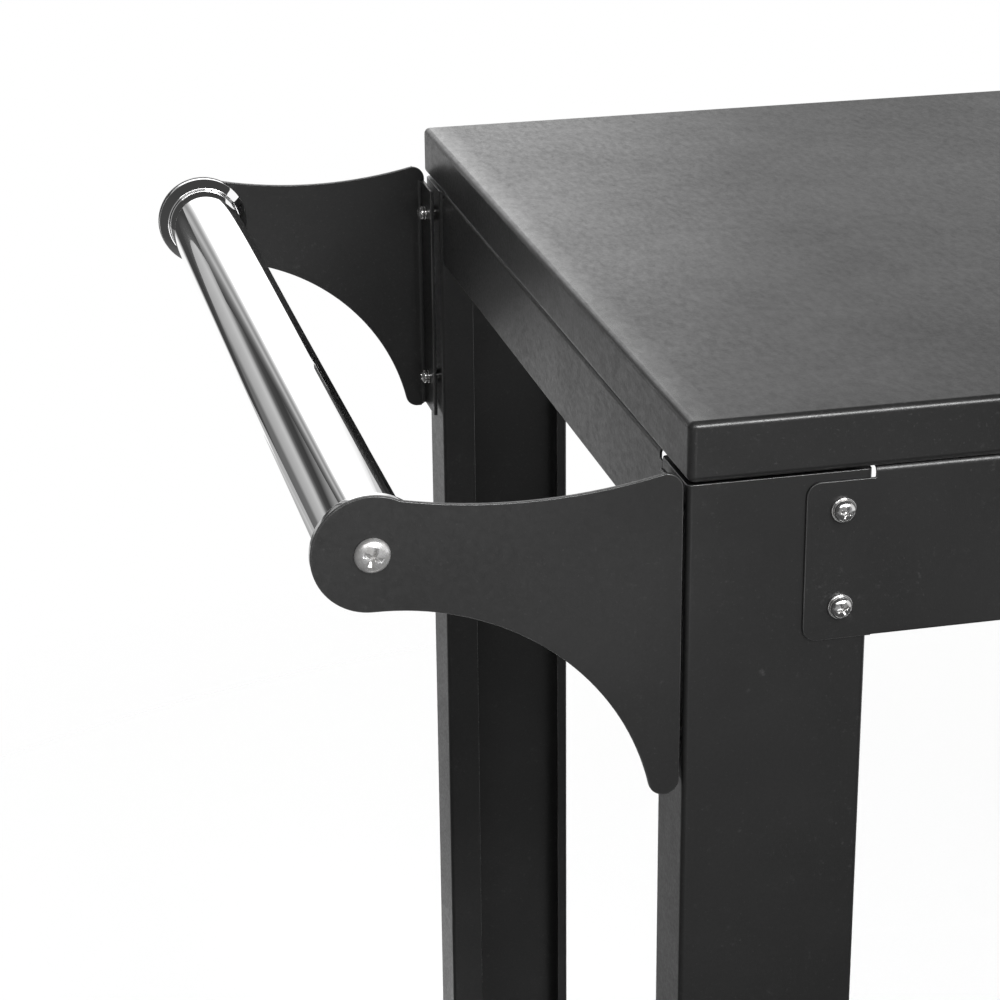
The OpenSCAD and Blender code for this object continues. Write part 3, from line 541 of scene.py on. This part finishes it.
def tyre(side):
    """A solid rubber tyre with three ribs, two grooves and a moulded line on each wall. Sizes are in mm."""
    low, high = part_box("tyre_" + side)
    rim_low, rim_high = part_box("wheel_" + side)
    outer, half = (high.z - low.z) / 2 / MM, (high.y - low.y) / 2 / MM
    bore = (rim_high.z - rim_low.z) / 2 / MM + 0.1
    chamfer, shoulder_r, shoulder_steps = 1, 5.5, 5
    line_out, line_middle, line_in, line_d = 7.8, 8.4, 9, 0.6
    groove_y, groove_top, groove_foot, groove_d = 6.5, 1.6, 1.1, 1.8
    wall = [(bore, chamfer - half), (bore + chamfer, -half), (outer - line_in, -half),
            (outer - line_middle, line_d - half), (outer - line_out, -half), (outer - shoulder_r, -half)]
    for step in range(1, shoulder_steps + 1):
        angle = math.pi / 2 * step / shoulder_steps
        out = outer - shoulder_r + shoulder_r * math.sin(angle)
        wall.append((out, -half + shoulder_r - shoulder_r * math.cos(angle)))
    tread = []
    for groove in (-groove_y, groove_y):
        tread += [(outer, groove - groove_top), (outer - groove_d, groove - groove_foot),
                  (outer - groove_d, groove + groove_foot), (outer, groove + groove_top)]
    other_wall = [(radius, -height) for radius, height in reversed(wall)]
    bm = turned(wall + tread + other_wall + wall[:1], 120)
    round_edges(bm, 0.3 * MM)
    lay_across(bm, (low + high) / 2)
    return finished(bm, "tyre_" + side + "_finished", "tyre_" + side)


def handle_tube():
    """The push handle's tube, with its wall and eased ends. Sizes are in mm."""
    low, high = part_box("handle_tube")
    radius, half = (high.z - low.z) / 2 / MM, (high.y - low.y) / 2 / MM
    wall, ease, lengths = 1.5, 0.4, 12
    end = [(radius - wall, ease - half), (radius - wall + ease, -half), (radius - ease, -half),
           (radius, ease - half)]
    rings = [(radius, -half + half * 2 * count / lengths) for count in range(1, lengths)]
    other_end = [(out, -height) for out, height in reversed(end)]
    bm = turned(end + rings + other_end + end[:1], 160)
    lay_across(bm, (low + high) / 2)
    return finished(bm, "handle_tube_finished", "handle_tube")


worktop()
handle_tube()
for side in ("front", "back"):
    tyre(side)
    softened("apron_" + side, 0.35)
    softened("bracket_" + side, 0.45, 3)
    softened("handle_cap_" + side, 0.3)
    softened("wheel_" + side, 0.7)
    softened("wheel_cap_" + side, 0.4)
    softened("bush_" + side, 0.3)
    softened("foot_" + side, 0.8)
    for end in ("left", "right"):
        softened("leg_" + side + "_" + end, 0.35)
for end in ("left", "right"):
    softened("end_rail_" + end, 0.3)
softened("lower_shelf", 0.3)
for stiffeners in ("top_stiffeners", "shelf_stiffeners"):
    softened(stiffeners, 0.25)
for small in ("apron_washers", "bracket_washers", "shelf_washers", "bracket_spacers", "apron_nuts",
              "rail_nuts", "top_nuts", "bracket_nuts", "shelf_nuts", "handle_plugs"):
    softened(small, 0.2)
for large in ("axle", "axle_washers", "axle_nuts"):
    softened(large, 0.4)
for sheet_screws in ("apron_screws", "shelf_screws", "rail_screws", "top_screws"):
    screws(sheet_screws, 5)
for light_screws in ("bracket_screws", "foot_screws"):
    screws(light_screws, 4)
screws("handle_screws", 6, dome=0.85)


# Studio

def studio_sky():
    """A white studio: full white where it is seen, directly or in a gloss, and softer as a light."""
    world = bpy.data.worlds.new("white_studio")
    world.use_nodes = True
    sky = Nodes(world.node_tree)
    camera_ray, glossy_ray, clear_ray = [
        sky.add("ShaderNodeLightPath", {}, {}, ray)
        for ray in ("Is Camera Ray", "Is Glossy Ray", "Is Transmission Ray")]
    seen = camera_ray.highest(glossy_ray).highest(clear_ray)
    as_light, as_seen = 0.75, 1.0
    background = sky.tree.nodes["Background"]
    sky.feed(background.inputs["Strength"], sky.span(seen, 0.0, 1.0, as_light, as_seen))
    background.inputs["Color"].default_value = (1, 1, 1, 1)
    scene.world = world


def studio_floor():
    """A plain pale floor that runs out into the white of the studio."""
    bm = bmesh.new()
    bmesh.ops.create_grid(bm, x_segments=1, y_segments=1, size=4.0)
    paper = Finish("white_paper", specular_ior_level=0.2)
    fibres = paper.noise(400, 3, 0.6)
    reach = paper.add("ShaderNodeVectorMath", {"operation": "LENGTH"}, {0: paper.place}, "Value")
    paper.feed(paper.shader.inputs["Alpha"], paper.span(reach, 0.75, 1.7, 1.0, 0.0))
    paper.relief(fibres, 0.0001, 0.2)
    colour, roughness = paper.tint(fibres, grey(248), grey(252)), paper.span(fibres, 0, 1, 0.85, 0.95)
    floor = in_scene(bm, "studio_floor", paper.paint(colour, roughness))


def soft_box(name, place, aim, width, height, watts):
    """A soft lamp that looks from its place to its aim. The camera doesn't see it."""
    lamp = bpy.data.lights.new(name, "AREA")
    lamp.shape, lamp.size, lamp.size_y, lamp.energy = "RECTANGLE", width, height, watts
    box = bpy.data.objects.new(name, lamp)
    box.location = place
    box.rotation_mode = "QUATERNION"
    box.rotation_quaternion = (Vector(place) - Vector(aim)).to_track_quat("Z", "Y")
    box.visible_camera = False
    scene.collection.objects.link(box)
    return box


def reflection_card(name, facing, place, across, up, graded, stops):
    """A grey card that only glosses show. It lies at a place on the axis that it faces along, and reaches
    across and up along the other two. Its grey goes through the stops along the graded axis."""
    reaches = {facing: (place, place)}
    reaches.update(zip([axis for axis in "xyz" if axis != facing], (across, up)))
    low, high = [Vector([reaches[axis][end] for axis in "xyz"]) for end in (0, 1)]
    half, graded_axis = (high - low) / 2, "xyz".index(graded)
    sides = [unit(axis) * half[axis] for axis in range(3) if axis != "xyz".index(facing)]
    laid = Matrix((*sides, sides[0].cross(sides[1]).normalized())).transposed().to_4x4()
    bm = bmesh.new()
    bmesh.ops.create_grid(
        bm, x_segments=1, y_segments=1, size=1.0, matrix=Matrix.Translation((low + high) / 2) @ laid)
    paper = Finish(
        name, specular_ior_level=0.0, roughness=1.0, base_color=(0, 0, 0, 1), emission_strength=1.0)
    graded_place = paper.span(paper.along(graded_axis), low[graded_axis], high[graded_axis])
    ramp = paper.add("ShaderNodeValToRGB", {"stops": stops}, {0: graded_place})
    paper.feed(paper.shader.inputs["Emission Color"], ramp)
    card = in_scene(bm, name, paper.material)
    card.visible_camera = card.visible_diffuse = card.visible_shadow = False
    card.visible_transmission = card.visible_volume_scatter = False


def photo_camera():
    """The camera of the photograph: its place in metres, its tilt, roll and turn in degrees, and its lens."""
    place, angles = Vector((-0.753309, -1.206100, 1.222109)), (68.65910, 0.55136, -13.30499)
    lens = bpy.data.cameras.new("photo_camera")
    lens.lens = 98.07
    lens.sensor_width = 36.0
    camera = bpy.data.objects.new("photo_camera", lens)
    camera.matrix_world = Matrix.LocRotScale(place, Euler([math.radians(angle) for angle in angles]), None)
    scene.collection.objects.link(camera)
    scene.camera = camera


studio_sky()
studio_floor()
overhead = soft_box("overhead_box", (-0.6, 0.9, 2.7), (0.0, 0.0, 0.8), 2.0, 1.4, 30)
overhead.visible_glossy = False
soft_box("front_box", (0.15, -1.6, 1.8), (-0.3, 0.0, 0.75), 0.7, 0.5, 18)

# The cards stand for a studio that the photograph shows only in its glosses: first the cards behind the cart
# and at its handle end, then those in front of it and above it
reflection_card("back_far_left_card", "y", 2.0, (-3.0, -1.155), (0.0, 2.2), "z", [
    (0.0, 0.12), (0.19, 0.15), (0.25, 0.38), (0.36, 0.47), (0.42, 0.55), (0.455, 0.42), (0.49, 0.15),
    (0.53, 0.06), (0.6, 0.045), (0.7, 0.3)])
reflection_card("back_left_low_card", "y", 2.0, (-1.155, -0.87), (0.0, 1.04), "x", [
    (0.0, 0.1), (0.19, 0.05), (0.61, 0.05), (0.72, 0.3), (0.83, 0.55), (1.0, 0.9)])
reflection_card("back_left_high_card", "y", 1.998, (-1.21, -0.87), (1.04, 2.2), "x", [
    (0.0, 0.045), (0.18, 0.13), (0.3, 0.25), (0.44, 0.5), (0.62, 0.28), (0.74, 0.4), (0.9, 0.8), (1.0, 1.1)])
reflection_card("back_middle_card", "y", 2.0, (-0.87, 0.3), (0.5, 2.6), "x", [
    (0.0, 1.5), (0.7, 1.7), (1.0, 0.8)])
reflection_card("back_right_card", "y", 2.0, (0.3, 4.0), (0.0, 3.0), "x", [
    (0.0, 0.62), (0.12, 0.64), (1.0, 0.38)])
reflection_card("left_floor_card", "z", 0.003, (-3.3, -0.62), (-1.0, 2.0), "y", [
    (0.0, 0.06), (0.4, 0.06), (0.6, 0.26), (0.78, 0.34), (0.9, 0.4), (1.0, 0.6)])
reflection_card("back_low_strip_card", "y", 1.99, (-2.5, -0.87), (0.0, 0.15), "z", [(0.0, 0.45), (1.0, 0.45)])
reflection_card("left_wall_card", "x", -3.2, (-4.2, 2.1), (0.0, 3.3), "z", [(0.0, 0.06), (1.0, 0.05)])
reflection_card("front_floor_card", "z", 0.003, (-3.0, 3.0), (-4.0, -0.35), "y", [
    (0.0, 0.4), (0.44, 0.32), (0.575, 0.18), (0.71, 0.07), (1.0, 0.05)])
reflection_card("front_left_floor_card", "z", 0.006, (-0.9, 0.12), (-3.2, -1.95), "y", [
    (0.0, 1.9), (0.6, 1.9), (1.0, 1.3)])
reflection_card("front_wall_card", "y", -4.0, (-4.0, 4.0), (0.0, 2.6), "z", [(0.0, 0.35), (1.0, 0.2)])
reflection_card("front_edge_card", "z", 2.7, (-2.5, 2.0), (-3.4, -2.2), "y", [(0.0, 6.0), (1.0, 6.0)])
reflection_card("ceiling_card", "z", 3.2, (-3.3, 3.0), (-2.0, 3.0), "y", [
    (0.0, 0.05), (0.6, 0.05), (1.0, 0.3)])

photo_camera()
scene.view_settings.view_transform = "Standard"
